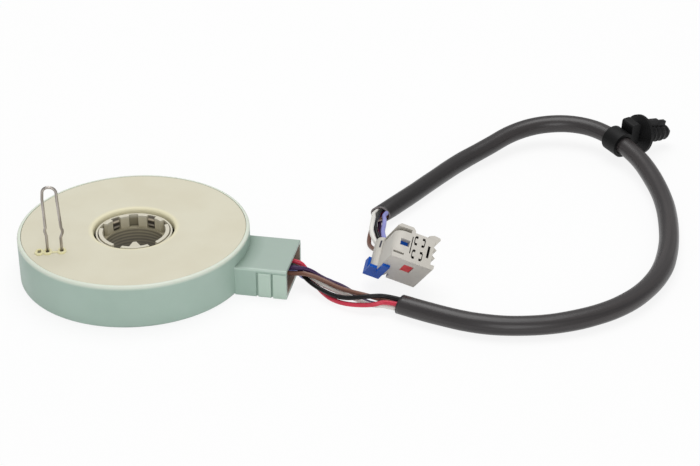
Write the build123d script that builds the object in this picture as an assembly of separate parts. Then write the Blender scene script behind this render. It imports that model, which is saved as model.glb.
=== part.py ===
# Steering angle sensor for a steering column, with its harness and plug.
#
# A flat disc housing sits round the steering shaft. The shaft drives the castellated hub in
# the middle, which turns a rotor disc with wiper brushes over a fixed track board. A wire
# locking pin holds the rotor straight until the sensor is fitted. Six leads leave through the
# wire box, run through a plastic sleeve held by a push-in clip, and end in an eight-way plug.
#
# Millimetres. The origin is on the shaft axis at the underside, +Z is up out of the cover and
# +X points along the wire box.

import os
from math import cos, pi, radians, sin, tan

from build123d import *

os.makedirs("parts", exist_ok=True)

# Clearances
run_gap = 0.3            # between pieces that move on each other
fit_gap = 0.1            # between pieces that are pressed or laid into each other
over = 1.0               # how far a cutter runs past the face that it opens

# Disc housing
disc_d = 80.0
disc_h = 15.8
wall_t = 2.0
floor_t = 1.6
rim_w = 1.2              # rim seen round the cover
edge_r = 0.8
boss_w = 2.4             # bearing ring round the shaft hole
boss_h = 1.2

# Cover
cover_t = 1.8
cover_hole_d = 28.0
cover_lip_r = 1.1
cover_edge_r = 0.3
skirt_w = 1.3
skirt_h = 1.4

# Hub and the pieces that turn with it
shaft_d = 21.0
hub_wall = 1.7
hub_drop = 1.2           # hub top under the cover's face
finger_h = 4.6
finger_step = 0.4        # the fingers' bore is wider than the shaft's by this much all round
finger_gap_angles = (174, 141, 108, 75, 42, -40.5, -103.5)
finger_gap_w = 3.2
key_angle = -72
key_reach = 3.4
key_drop = 0.4
key_w = 5.2              # at the hub's wall
key_tip_w = 1.2
flange_d = 40.0
flange_t = 1.5
outer_sleeve_t = 0.6
outer_sleeve_gap = 0.4
outer_sleeve_foot_w = 2.6
spring_angles = (141, 75)
spring_t = 0.4
spring_w = 2.4
rotor_t = 1.4
rotor_gap = 3.5          # rotor's rim to the housing's wall
rotor_windows = 6
rotor_window_w = 7.0
rotor_window_l = 11.2
rotor_window_angle = 80
wiper_angles = (20, 140, 260)
wiper_fingers = 4
wiper_pitch = 2.2
wiper_finger_w = 1.3
wiper_plate_l = 2.8
wiper_finger_l = 4.2
wiper_t = 0.3

# Track board
board_t = 1.2
board_gap = 2.0
board_post_d = 3.0
board_post_h = 0.8
board_post_angles = (45, 135, 225, 315)
board_tongue_gap = 2.65  # to the wire box's walls

# Wire box on the side of the disc
box_reach = 16.3         # past the disc's wall, to the open end
box_w = 22.7
box_h = 10.8
box_wall = 1.2
box_edge_r = 0.6
groove_w = 0.7
groove_depth = 0.6
groove_from_end = (10.2, 5.0)
tongue_proud = 0.5
tongue_edge_r = 0.4
tongue_z = 0.3
tongue_drop = 1.5        # below the box's top
band_proud = 0.25        # raised band from the grooves to the open end

# Leads, and how they leave the box
lead_d = 1.6
lead_mid_y = -0.2
lead_pitch = 2.6
strip_l = 4.0
strip_socket = 1.5
strip_roof_gap = 0.25
seal_l = 4.0
seal_from_end = 5.8
strip_to_seal = 0.2
pin_d = 0.7
pin_into_strip = 0.6
lead_straight = 1.0      # past the box's end, to the first bend

# Sleeve round the leads
sleeve_d = 7.0
sleeve_wall = 0.55
bundle_r = 1.9           # leads lie on a ring inside the sleeve
mouth_l = 4.5            # the leads stay in their ring this far past the sleeve's ends

# Push-in harness clip
band_w = 7.4
band_t = 1.3
head_l = 4.0
head_w = 6.4
head_h = 9.0
head_up = 3.0            # middle of the head, above the sleeve's middle
head_edge_r = 1.0
shank_up = 2.4
flange_out = 9.5         # clip flange, from the sleeve's middle
clip_flange_d = 15.4
clip_flange_t = 1.2
clip_dish = 2.0
fir_l = 16.5
fir_d = 7.6
fir_core_d = 3.8
fir_fins = 5
fir_taper = 0.05         # each fin is smaller than the first by this share more
fir_first = 0.6          # flange to the first fin
fir_tip_l = 5.0
rail_l = 6.7             # key rail on top of the fir tree
rail_w = 1.8
rail_up = 5.9            # its top, above the shank's middle
clip_at = 0.56           # share of its run of the route
clip_droop = 10.5        # degrees

# Plug: lengths run from its rear, "in" is from its left side, heights from its bottom
plug_l = 17.7
plug_w = 15.3
plug_h = 10.9
plug_edge_r = 0.6
plug_face_t = 1.2
hood_h = 1.7
hood_w = 6.5
hood_l = 14.5
hood_edge = 1.0
hood_t = 1.1             # roof over the gap
hood_root = 1.3          # what joins the roof to the plug
hood_sunk = 0.7          # bottom of the gap, under the plug's top
cheek_r = 3.2            # rounded left corner of the mating face
contact_pitch = 2.54
contact_rows = 4
contact_cols = 2
contact_in = 7.35        # first column
contact_z = 1.9          # lowest row
cavity_w = 1.3
face_hole_w = 0.9
face_link_w = 0.3        # thin slit that joins two contact holes
face_link_out = 0.55
face_link_t = 0.8
face_slots = (           # depth from the mating face, in from, in to, height from, height to
    (3.0, 0.3, 4.1, 1.6, 2.3),
    (3.0, 5.8, 6.15, 2.9, 9.3),
    (4.0, 11.8, 12.65, 3.5, 7.9),
)
window = (8.0, 2.1, 5.3, 5.0, 7.4)
window_lock_back = 2.0   # the blue bar stands this far behind the mating face
side_slit = (3.45, 4.1, 6.6, 9.9)
side_step = 1.4          # the right side stands back above its bottom plate
bottom_plate_t = 1.7
rib_heights = (4.9, 7.9)
rib_back = 9.0
rib_l = 8.0
rib_under = 1.5
rib_over = 0.9
rib_root = 0.2
latch = ((13.5, 9.2), (14.7, 9.8), (15.95, 12.0), (15.6, 12.7), (13.4, 12.9), (11.7, 12.1),
         (11.7, 10.4))   # in from the left, height
terminal_w = 1.1
terminal_l = 9.0
crimp_d = 0.88
crimp_l = 1.5
lead_in = 5.0            # length of lead inside the plug
lead_out = 2.5           # straight length behind the plug
plug_corner = (97.6, 4.0, 0.15)
plug_yaw = -50.3
plug_tilt = 47.5
plug_roll = -35.8

# Wire cover, position lock and coding key of the plug
corner_l = 3.3           # corner of the plug that the wire cover fills
corner_w = 4.6
column_l = 6.7
column_w = 6.1
column_r = 2.5
column_z = 1.6
column_rise = 2.0
column_edge_r = 0.8
lock_foot_t = 1.0
lock_wall = 0.9
lock_foot_w = 5.9
lock_side_l = 3.7
lock_h = 5.2
lock_arm_l = 6.7
lock_arm_w = 2.5
lock_arm_t = 0.9
key_from_rear = 9.1
key_in = 6.15
coding_l = 5.1
coding_w = 3.3
coding_t = 1.0
coding_sunk = 0.2

# Locking pin, a bent steel wire drawn up in its guides
wire_d = 1.0
pin_from_rim = 10.42
pin_angle = -137.2
pin_turn = 18.0
pin_half = 2.37
pin_in = 7.0             # length of the legs below the cover's face
pin_bend_r = 2.3
pin_left = [(0, 5.9), (-0.45, 7.5), (-0.1, 8.9), (-0.3, 19.8), (0.1, 24.2)]
pin_right = [(-0.3, 23.7), (-0.2, 19.0), (0.35, 8.7), (0.85, 7.1), (0, 4.9)]
guide_pitch = 2.8        # from a leg to the spare hole
guide_w = 3.2
guide_drop = 3.6
guide_margin = 1.0
guide_shift = 0.6        # the guides lie a little towards the rim
guide_slot_l = 2.8
guide_lip_h = 0.5
guide_lip_w = 0.8        # lip in front of each hole
guide_lip_r = 0.3

# Heights and radii that follow from the sizes above
disc_r = disc_d / 2
inner_r = disc_r - wall_t
board_d = 2 * (inner_r - board_gap)
rotor_d = 2 * (inner_r - rotor_gap)
hub_in_r = shaft_d / 2
hub_out_r = hub_in_r + hub_wall
hub_top = disc_h - hub_drop
finger_z = hub_top - finger_h
floor_hole_r = hub_out_r + run_gap + fit_gap
flange_z = floor_t + boss_h + run_gap
flange_top = flange_z + flange_t
rotor_top = flange_top + rotor_t
outer_sleeve_r = hub_out_r + outer_sleeve_gap + outer_sleeve_t
board_z = floor_t + board_post_h
board_top = board_z + board_t
board_tongue_w = box_w - 2 * (box_wall + board_tongue_gap)
strip_top = box_h - box_wall - strip_roof_gap
lead_gap = (strip_top - board_top - 2 * lead_d) / 3
lead_grid_y = (lead_mid_y - lead_pitch, lead_mid_y, lead_mid_y + lead_pitch)
lead_grid_z = (board_top + lead_gap + lead_d / 2, strip_top - lead_gap - lead_d / 2)
cover_z = disc_h - cover_t
box_end = disc_r + box_reach
seal_x = box_end - seal_from_end
strip_end = seal_x - strip_to_seal
strip_mid = strip_end - strip_l / 2
wire_r = wire_d / 2
lead_r = lead_d / 2
sleeve_r = sleeve_d / 2
bore_r = sleeve_r - sleeve_wall
plug_left = -plug_w / 2

# Route of the sleeve
sleeve_route = [
    (95.5, -13, 3.6), (112, -19, 3.6), (129.5, -21, 3.6), (147, -16.5, 3.6), (162.5, -7, 3.6),
    (173.5, 6, 3.6), (180.5, 23, 3.6), (182.5, 40.5, 3.6), (182, 58, 3.6), (180, 75.5, 3.6),
    (175, 92, 4.8), (167.7, 107.3, 6.7), (154.2, 122.1, 8.3), (142.2, 126.7, 8.5), (129.2, 124.9, 7.8),
    (118.6, 117.7, 6.6), (110.5, 106.6, 4.9), (101, 94, 3.7), (93.5, 78.5, 3.6), (86, 62, 3.6),
    (78, 46.5, 3.6),
]
clip_run_index = 11      # the clip sits on the run that starts at this point

# Each lead: column and row in the box, place round the bundle, column and row in the plug,
# then its free points from the box to the sleeve and from the sleeve to the plug
leads = {
    "brown": dict(cell=(0, 0), angle=330, contact=(0, 3),
                  front=[(65.4, -5.8, 5.4), (73.3, -6.4, 5.1), (80.9, -7.7, 3.6)],
                  rear=[(79.2, 25.5, 5.5), (82.3, 18.3, 2.5)]),
    "violet": dict(cell=(0, 1), angle=270, contact=(1, 2),
                   front=[(65.9, -2.8, 7.3), (73, -3.3, 4.7), (81.2, -8.3, 0.9)],
                   rear=[(80.8, 31.2, 0.9), (86.8, 20.8, 2.8)]),
    "blue": dict(cell=(1, 0), angle=30, contact=(1, 3),
                 front=[(65.3, -2.3, 1.6), (74.1, -1.2, 5.4), (81.7, -4.8, 5.2)],
                 rear=[(85.1, 29.7, 6.8), (87.2, 21.1, 4.9)]),
    "black": dict(cell=(1, 1), angle=90, contact=(1, 1),
                  front=[(65.3, -4.2, 2.6), (73.3, -9.8, 3.2), (80.5, -10.5, 4.9)],
                  rear=[(80.8, 29, 6.2), (85.3, 18.6, 2.4)]),
    "red": dict(cell=(2, 1), angle=210, contact=(0, 1),
                front=[(67.9, 3.6, 1.8), (73.3, -10.5, 0.9), (80.3, -13.2, 0.9)],
                rear=[(77.6, 31.5, 1.3), (83.6, 18, 0.9)]),
    "white": dict(cell=(2, 0), angle=150, contact=(0, 2),
                  front=[(66.3, -3, 5.1), (73.3, -5.9, 2.3), (80.5, -10.9, 2.7)],
                  rear=[(76.8, 30.1, 7), (79.8, 17.3, 5.1)]),
}


def revolved(*profile):
    """Solid of revolution about Z from (radius, height) corners."""
    return revolve(make_face(Polyline(*[(r, 0, z) for r, z in profile], close=True)), Axis.Z)


def block(x0, x1, y0, y1, z0, z1):
    """Box between two corners."""
    size = (abs(x1 - x0), abs(y1 - y0), abs(z1 - z0))
    return Pos((x0 + x1) / 2, (y0 + y1) / 2, (z0 + z1) / 2) * Box(*size)


def rod(radius, z0, z1, x=0.0, y=0.0):
    """Upright cylinder from z0 to z1."""
    return Pos(x, y, (z0 + z1) / 2) * Cylinder(radius, z1 - z0)


def along_x(radius, x0, x1, y, z):
    """Cylinder along X."""
    return Pos((x0 + x1) / 2, y, z) * Rot(Y=90) * Cylinder(radius, x1 - x0)


def arc_radii(points):
    """Largest arc that each corner's two runs allow."""
    corners = [Vector(*p) for p in points]
    radii = []
    for before, here, after in zip(corners, corners[1:], corners[2:]):
        run = min((here - before).length, (after - here).length)
        turn = radians((here - before).get_angle(after - here))
        radii.append(0.45 * run / tan(turn / 2))
    return radii


def cord(name, points, radius, bore=0.0):
    """Tube along straight runs joined by tangent arcs."""
    radii = arc_radii(points)
    path = FilletPolyline(*points, radius=radii)
    section = Circle(radius) if not bore else Circle(radius) - Circle(bore)
    start = Plane(origin=points[0], z_dir=Vector(*points[1]) - Vector(*points[0]))
    tube = sweep(start * section, path=path)
    ideal = pi * (radius ** 2 - bore ** 2) * path.length
    print(f"{name}: length {path.length:.1f}, smallest radius {min(radii):.1f},",
          f"volume {tube.volume / ideal:.4f} of section times length")
    return tube


def lead_ring():
    """The sleeve's route with its two ends moved out, which the leads keep to."""
    route = [Vector(*p) for p in sleeve_route]
    first = route[0] + (route[0] - route[1]).normalized() * mouth_l
    last = route[-1] + (route[-1] - route[-2]).normalized() * mouth_l
    return [tuple(first)] + sleeve_route[1:-1] + [tuple(last)]


def offset_route(points, side, up):
    """The same route, moved to its left by side and raised by up."""
    flat = [Vector(x, y, 0) for x, y, z in points]
    ways = [(b - a).normalized() for a, b in zip(flat, flat[1:])]
    moved = []
    for i, (x, y, z) in enumerate(points):
        first = ways[max(i - 1, 0)]
        second = ways[min(i, len(ways) - 1)]
        normal = Vector(-first.Y - second.Y, first.X + second.X, 0)
        shift = normal * (side / (1 + first.dot(second)))
        moved.append((x + shift.X, y + shift.Y, z + up))
    return moved


def box_opening():
    """Passage from inside the disc to the wire box's open end."""
    half = box_w / 2 - box_wall
    return block(inner_r - wall_t, box_end + over, -half, half, floor_t, box_h - box_wall)


def housing():
    """Pan-shaped disc, open to the wire box."""
    boss_r = floor_hole_r + boss_w
    pan = revolved(
        (floor_hole_r, 0), (disc_r, 0), (disc_r, disc_h), (disc_r - rim_w, disc_h),
        (disc_r - rim_w, cover_z), (inner_r, cover_z), (inner_r, floor_t), (boss_r, floor_t),
        (boss_r, floor_t + boss_h), (floor_hole_r, floor_t + boss_h))
    outer = pan.edges().filter_by(GeomType.CIRCLE).group_by(SortBy.RADIUS)[-1]
    body = fillet(outer, edge_r) - box_opening()
    for angle in board_post_angles:
        post = rod(board_post_d / 2, floor_t - fit_gap, board_z)
        body += Rot(Z=angle) * Pos(board_d / 2 - board_post_d, 0, 0) * post
    return body


def wire_box():
    """Box on the disc's side that guards the leads, with a snap tongue on each side."""
    section = Plane.YZ * Pos(0, box_h / 2) * Rectangle(box_w, box_h)
    section = fillet(section.vertices().group_by(Axis.Z)[-1], box_edge_r)
    body = extrude(section, box_end) - rod(disc_r, -over, box_h + over) - box_opening()
    half = box_w / 2
    for side in (-1, 1):
        for back in groove_from_end:
            x = box_end - back
            body -= block(x - groove_w / 2, x + groove_w / 2, side * half - groove_depth,
                          side * half + groove_depth, -over, box_h - tongue_drop)
        body += snap_tongue(side) + end_band(side)
    return body


def snap_tongue(side):
    """Raised snap pad between the grooves on one side of the box."""
    x0 = box_end - groove_from_end[0] + groove_w / 2
    x1 = box_end - groove_from_end[1] - groove_w / 2
    face = side * box_w / 2
    pad = block(x0, x1, face - groove_depth * side, face + tongue_proud * side, tongue_z,
                box_h - tongue_drop)
    outer = pad.faces().sort_by(Axis.Y)[-1 if side > 0 else 0]
    return fillet(outer.edges(), tongue_edge_r)


def end_band(side):
    """Slightly raised band between the tongue and the box's open end."""
    face = side * box_w / 2
    return block(box_end - groove_from_end[1] + groove_w / 2, box_end,
                 face - groove_depth * side, face + band_proud * side, 0, box_h - tongue_drop)


def pin_frame():
    """Plane of the locking pin: X across its legs, Y inwards, Z up from the cover's face."""
    reach = disc_r - pin_from_rim
    angle = radians(pin_angle)
    return Pos(reach * cos(angle), reach * sin(angle), disc_h) * Rot(Z=pin_turn)


def guide_places():
    """Middles of the three guide holes across the pin; the first is spare."""
    return (-pin_half - guide_pitch, -pin_half, pin_half)


def guide_slots():
    """The slots in the cover for the pin."""
    width = wire_d + 2 * run_gap
    slots = Part()
    for x in guide_places():
        outline = SlotOverall(guide_slot_l, width, rotation=90)
        depth = cover_t + guide_drop + over
        slots += Pos(x, (width - guide_slot_l) / 2, 0) * extrude(outline, depth, both=True)
    return slots


def guide_lip():
    """Wavy lip on the cover, in front of the guide holes."""
    hole_r = wire_r + run_gap
    front = 2 * hole_r - guide_slot_l
    outer_r = hole_r + guide_lip_w
    places = guide_places()
    bar = block(places[0], places[-1], front - hole_r, front, -fit_gap, guide_lip_h)
    bar = chamfer(bar.faces().sort_by(Axis.Z)[-1].edges().filter_by(Axis.X), guide_lip_r)
    ring = rod(outer_r, -fit_gap, guide_lip_h)
    ring = chamfer(ring.faces().sort_by(Axis.Z)[-1].edges(), guide_lip_r)
    lip = bar + [Pos(x, front, 0) * ring for x in places]
    back = block(places[0] - 2 * outer_r, places[-1] + 2 * outer_r, front + hole_r / 2,
                 front + 2 * outer_r, -over, over)
    return lip - back


def cover():
    """Flat cream lid with a rounded hole, a skirt round the hub and the pin's guides."""
    hole_r = cover_hole_d / 2
    lid_r = disc_r - rim_w - fit_gap
    lid = revolved(
        (hole_r, cover_z - skirt_h), (hole_r + skirt_w, cover_z - skirt_h),
        (hole_r + skirt_w, cover_z), (lid_r, cover_z), (lid_r, disc_h), (hole_r, disc_h))
    mouth = lid.edges().filter_by(GeomType.CIRCLE).group_by(Axis.Z)[-1].sort_by(SortBy.RADIUS)[0]
    lid = fillet(mouth, cover_lip_r)
    brim = lid.edges().filter_by(GeomType.CIRCLE).group_by(Axis.Z)[-1].sort_by(SortBy.RADIUS)[-1]
    lid = fillet(brim, cover_edge_r)
    guide = Box(2 * pin_half + guide_pitch + guide_w + guide_margin, guide_w + 2 * guide_margin,
                guide_drop)
    guide = Pos(-guide_pitch / 2, -guide_shift, -cover_t - guide_drop / 2) * guide
    return lid + pin_frame() * (guide + guide_lip()) - pin_frame() * guide_slots()


def hub():
    """Castellated hub with its rotor flange and drive key."""
    flange_r = flange_d / 2
    finger_r = hub_in_r + finger_step
    body = revolved(
        (hub_in_r, 0), (hub_out_r, 0), (hub_out_r, flange_z), (flange_r, flange_z),
        (flange_r, flange_top), (hub_out_r, flange_top), (hub_out_r, hub_top),
        (finger_r, hub_top), (finger_r, finger_z), (hub_in_r, finger_z))
    for angle in finger_gap_angles:
        gap = block(hub_in_r - over, hub_out_r + over, -finger_gap_w / 2, finger_gap_w / 2,
                    finger_z, hub_top + over)
        body -= Rot(Z=angle) * gap
    root = (finger_r + hub_out_r) / 2
    tip = hub_in_r - key_reach
    outline = make_face(Polyline((root, -key_w / 2), (tip, -key_tip_w / 2), (tip, key_tip_w / 2),
                                 (root, key_w / 2), close=True))
    key = Pos(0, 0, finger_z + run_gap) * extrude(outline, finger_h - run_gap - key_drop)
    return body + Rot(Z=key_angle) * key


def outer_sleeve():
    """Thin ring that stands round the hub, on the flange."""
    inner = hub_out_r + outer_sleeve_gap
    foot_r = outer_sleeve_r + outer_sleeve_foot_w
    top = hub_top - run_gap
    return revolved(
        (inner, flange_top), (foot_r, flange_top), (foot_r, flange_top + outer_sleeve_t),
        (outer_sleeve_r, flange_top + outer_sleeve_t), (outer_sleeve_r, top), (inner, top))


def hub_spring(angle):
    """Leaf spring in a gap of the hub, bowed towards the shaft."""
    x_out = hub_out_r - fit_gap
    x_in = hub_in_r + finger_step
    top = hub_top - run_gap
    mid = (finger_z + top) / 2
    bow = ThreePointArc((x_out - spring_t, finger_z), (x_in, mid), (x_out - spring_t, top))
    back = ThreePointArc((x_out, top), (x_in + spring_t, mid), (x_out, finger_z))
    outline = make_face(Curve() + [bow, Line(bow @ 1, back @ 0), back, Line(back @ 1, bow @ 0)])
    leaf = extrude(Plane.XZ * outline, spring_w / 2, both=True)
    return Rot(Z=angle) * leaf


def rotor_disc():
    """Carrier of the wipers, seated on the hub's flange."""
    inner = outer_sleeve_r + outer_sleeve_foot_w + fit_gap
    outer = rotor_d / 2
    disc = revolved((inner, flange_top), (outer, flange_top), (outer, rotor_top), (inner, rotor_top))
    window_r = (flange_d / 2 + outer) / 2
    opening = extrude(SlotOverall(rotor_window_l, rotor_window_w, rotation=90), rotor_top)
    for i in range(rotor_windows):
        angle = rotor_window_angle + i * 360 / rotor_windows
        disc -= Rot(Z=angle) * Pos(window_r, 0, 0) * opening
    for x in (-pin_half, pin_half):
        hole = rod(wire_r + run_gap, flange_top - disc_h - over, rotor_top - disc_h + over, x)
        disc -= pin_frame() * hole
    return disc


def wiper(angle):
    """Brush of sprung fingers under the rotor disc, just clear of the tracks."""
    mid_r = (board_d / 2 + flange_d / 2) / 2
    half = wiper_pitch * wiper_fingers / 2
    root = flange_top - wiper_t
    tip = board_top + run_gap
    brush = block(-half, half, 0, wiper_plate_l, root, flange_top)
    side = make_face(Polyline((0, root), (0, flange_top), (-wiper_finger_l, tip + wiper_t),
                              (-wiper_finger_l, tip), close=True))
    finger = extrude(Plane.YZ * side, wiper_finger_w / 2, both=True)
    for i in range(wiper_fingers):
        brush += Pos((i - (wiper_fingers - 1) / 2) * wiper_pitch, 0, 0) * finger
    return Rot(Z=angle) * Pos(mid_r, 0, 0) * brush


def pin_places():
    """Middles of the solder pins under the terminal strip."""
    return [(strip_mid + back * strip_l / 4, y) for y in lead_grid_y for back in (1, -1)]


def track_board():
    """Ring-shaped board with the resistance tracks, and a tongue into the wire box."""
    inner = flange_d / 2 + 2 * run_gap
    board = revolved((inner, board_z), (board_d / 2, board_z), (board_d / 2, board_top),
                     (inner, board_top))
    half = board_tongue_w / 2
    board += block(inner + wall_t, strip_end, -half, half, board_z, board_top)
    for x, y in pin_places():
        board -= rod(pin_d / 2 + fit_gap, board_z - over, board_top + over, x, y)
    return board


def terminal_strip():
    """Moulded strip on the board that takes the ends of the leads."""
    low_y, high_y = min(lead_grid_y) - lead_d, max(lead_grid_y) + lead_d
    strip = block(strip_end - strip_l, strip_end, low_y, high_y, board_top, strip_top)
    for y in lead_grid_y:
        for z in lead_grid_z:
            strip -= along_x(lead_r + fit_gap / 2, strip_end - strip_socket, strip_end + over, y, z)
    for x, y in pin_places():
        strip -= rod(pin_d / 2 + fit_gap / 2, board_top - over, board_top + pin_into_strip, x, y)
    return strip


def terminal_pins():
    """Solder pins between the strip and the board."""
    return Part() + [rod(pin_d / 2, board_z - fit_gap, board_top + pin_into_strip, x, y)
                     for x, y in pin_places()]


def wire_seal():
    """Block that closes the wire box round the leads."""
    half = box_w / 2 - box_wall - fit_gap / 2
    seal = block(seal_x, seal_x + seal_l, -half, half, floor_t + fit_gap / 2,
                 box_h - box_wall - fit_gap / 2)
    for y in lead_grid_y:
        for z in lead_grid_z:
            seal -= along_x(lead_r + fit_gap / 2, seal_x - over, seal_x + seal_l + over, y, z)
    return seal


def lock_pin():
    """Hairpin of spring wire with a small kink in each leg."""
    left = [(x - pin_half, z) for x, z in [(0, -pin_in)] + pin_left]
    right = [(x + pin_half, z) for x, z in pin_right + [(0, -pin_in)]]
    points = [(x, 0, z) for x, z in left + right]
    radii = [min(pin_bend_r, r) for r in arc_radii(points)]
    path = FilletPolyline(*points, radius=radii)
    wire = sweep(Plane(origin=points[0], z_dir=(0, 0, 1)) * Circle(wire_r), path=path)
    return pin_frame() * wire


def clip_planes():
    """Planes of the clip's band and of its drooping shank: X out, Y along the sleeve."""
    start, end = (Vector(*p) for p in sleeve_route[clip_run_index:clip_run_index + 2])
    way = (end - start).normalized()
    out = way.cross(Vector(0, 0, 1)).normalized()
    up = out.cross(way)
    droop = radians(clip_droop)
    band = Plane(origin=start + (end - start) * clip_at, x_dir=out, z_dir=up)
    shank = Plane(origin=band.origin, x_dir=out * cos(droop) - up * sin(droop),
                  z_dir=up * cos(droop) + out * sin(droop))
    return band, shank


def clip_shank():
    """Umbrella flange and fir tree, turned about X, with a key rail on top."""
    core = fir_core_d / 2
    root = sleeve_r + band_t
    flange_back = flange_out + clip_flange_t
    tip = flange_out + fir_l
    pitch = (fir_l - fir_tip_l) / fir_fins
    profile = [(root, 0), (root, core), (flange_out - clip_dish, core),
               (flange_out, clip_flange_d / 2), (flange_back, clip_flange_d / 2),
               (flange_back - clip_dish / 2, core)]
    for i in range(fir_fins):
        x = flange_back + fir_first + i * pitch
        fin = fir_d / 2 * (1 - fir_taper * i)
        profile += [(x, core), (x, fin), (x + pitch / 3, fin), (x + pitch * 2 / 3, core)]
    profile += [(tip, core / 2), (tip, 0)]
    rail = block(flange_back + fir_first, flange_back + fir_first + rail_l, -rail_w / 2, rail_w / 2,
                 0, rail_up)
    return revolve(make_face(Polyline(*profile, close=True)), Axis.X) + rail


def harness_clip():
    """Strap round the sleeve with a head, an umbrella flange and a fir-tree shank."""
    band_plane, shank_plane = clip_planes()
    inner = sleeve_r + 2 * fit_gap
    ring = Rot(X=90) * Cylinder(inner + band_t, band_w)
    head = block(inner, inner + head_l, -head_w / 2, head_w / 2, head_up - head_h / 2,
                 head_up + head_h / 2)
    head = fillet(head.edges().filter_by(Axis.Y), head_edge_r)
    clip = band_plane * (ring + head - Rot(X=90) * Cylinder(inner, band_w + over))
    return clip + shank_plane * Pos(0, 0, shank_up) * clip_shank()


def plug_place():
    """Where the plug lies: X out of its mating face, Y across it, Z up through its hood."""
    turn = Rot(Z=plug_yaw) * Rot(Y=-plug_tilt) * Rot(X=plug_roll)
    return Pos(*plug_corner) * turn * Pos(0, plug_left, 0)


def contact_cells():
    """Middles of the plug's cavities as {(column, row): (y, z)}."""
    return {(c, r): (plug_left + contact_in + c * contact_pitch, contact_z + r * contact_pitch)
            for c in range(contact_cols) for r in range(contact_rows)}


def from_face(depth, in_from, in_to, low, high, gap=0.0):
    """Block that opens the mating face, narrowed all round by a gap."""
    return block(plug_l - depth + gap, plug_l + over, plug_left + in_from + gap,
                 plug_left + in_to - gap, low + gap, high - gap)


def plug_hood():
    """Thin roof over the left half of the plug's top, joined to it along the middle."""
    y1 = plug_left + hood_w
    top = plug_h + hood_h
    x0 = plug_l - hood_l
    hood = block(x0, plug_l, plug_left, y1, plug_h - plug_edge_r, top)
    return chamfer(hood.faces().sort_by(Axis.Z)[-1].edges().filter_by(Axis.X), hood_edge)


def plug_side():
    """Latch and two ribs along the plug's right side."""
    right = -plug_left
    root = right - side_step - rib_root
    shapes = [[(root, z - rib_under), (right, z), (root, z + rib_over)] for z in rib_heights]
    shapes.append([(plug_left + y, z) for y, z in latch])
    side = [Pos(plug_l - rib_back, 0, 0)
            * extrude(Plane.YZ * make_face(Polyline(*shape, close=True)), rib_l) for shape in shapes]
    return Part() + side


def face_links():
    """Thin slits that join the contact holes in pairs."""
    links = Part()
    for (column, row), (y, z) in contact_cells().items():
        if row % 2 == 0:
            middle = y + (face_link_out if column else -face_link_out)
            links += block(plug_l - face_link_t, plug_l + over, middle - face_link_w / 2,
                           middle + face_link_w / 2, z, z + contact_pitch)
    return links


def plug_housing():
    """Eight-way plug body with hood, window, slots and side ribs."""
    right = -plug_left
    body = block(0, plug_l, plug_left, right, 0, plug_h)
    body = fillet(body.edges().filter_by(Axis.X), plug_edge_r)
    body -= block(-over, plug_l + over, right - side_step, right + over, bottom_plate_t,
                  plug_h + over)
    low = bottom_plate_t + contact_pitch / 2
    cheek = block(plug_l - cheek_r, plug_l + over, plug_left - over, plug_left + cheek_r, low,
                  plug_h + over)
    body -= cheek - rod(cheek_r, low - over, plug_h + 2 * over, plug_l - cheek_r, plug_left + cheek_r)
    body += plug_hood()
    body -= block(plug_l - hood_l + hood_root, plug_l + over, plug_left - over,
                  plug_left + hood_w - hood_root, plug_h - hood_sunk, plug_h + hood_h - hood_t)
    body -= block(-over, corner_l, plug_left - over, plug_left + corner_w, -over,
                  plug_h + hood_h + over)
    for slot in face_slots + (window,):
        body -= from_face(*slot)
    body -= block(side_slit[0], side_slit[1], plug_left - over, plug_left + over, side_slit[2],
                  side_slit[3])
    body -= coding_block(fit_gap, -over, coding_sunk + coding_t + fit_gap)
    wide = cavity_w / 2
    hole = face_hole_w / 2
    for y, z in contact_cells().values():
        body -= along_x(lead_r + fit_gap / 2, -over, lead_in, y, z)
        body -= block(lead_in, plug_l - plug_face_t, y - wide, y + wide, z - wide, z + wide)
        body -= block(plug_l - 2 * plug_face_t, plug_l + over, y - hole, y + hole, z - hole,
                      z + hole)
    return plug_place() * (body + plug_side() - face_links())


def coding_block(gap, low, high):
    """Block in the place of the coding key, widened all round by a gap."""
    y = plug_left + key_in
    return block(key_from_rear - gap, key_from_rear + coding_l + gap, y - gap,
                 y + coding_w + gap, low, high)


def plug_coding_key():
    """Red coding insert in the plug's lower side."""
    return plug_place() * coding_block(0, coding_sunk, coding_sunk + coding_t)


def plug_wire_cover():
    """Rounded column at the rear corner of the plug, which guards the leads."""
    y = plug_left + corner_w - fit_gap / 2 - column_w / 2
    outline = Pos(corner_l - column_l / 2, y) * RectangleRounded(column_l, column_w, column_r)
    column = Pos(0, 0, column_z) * extrude(outline, plug_h + column_rise - column_z)
    column = fillet(column.faces().sort_by(Axis.Z)[-1].edges(), column_edge_r)
    return plug_place() * column


def plug_position_lock():
    """Blue clip that hooks round the plug's lower rear corner."""
    top = column_z - fit_gap
    low = top - lock_foot_t
    rear = corner_l - column_l - fit_gap
    side = plug_left + corner_w - column_w - 1.5 * fit_gap
    x1 = corner_l - fit_gap
    y1 = side - lock_wall + lock_foot_w
    arm_y = plug_left + fit_gap
    foot = block(rear - lock_wall, x1, side - lock_wall, y1, low, top)
    lip = block(rear - lock_wall, rear, side - lock_wall, y1, low, low + lock_h)
    wall = block(rear - lock_wall, rear - lock_wall + lock_side_l, side - lock_wall, side, low,
                 low + lock_h)
    arm = block(x1 - lock_wall, x1 + lock_arm_l, arm_y, arm_y + lock_arm_w, -lock_arm_t, 0)
    joint = block(x1 - lock_wall, x1, arm_y, arm_y + lock_arm_w, -lock_arm_t, top)
    return plug_place() * (foot + lip + wall + arm + joint)


def plug_terminal_lock():
    """Blue bar that locks the terminals, seen through the plug's window."""
    bar = from_face(*window, gap=fit_gap)
    bar -= block(plug_l - window_lock_back, plug_l + 2 * over, plug_left, -plug_left, 0, plug_h)
    return plug_place() * bar


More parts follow.
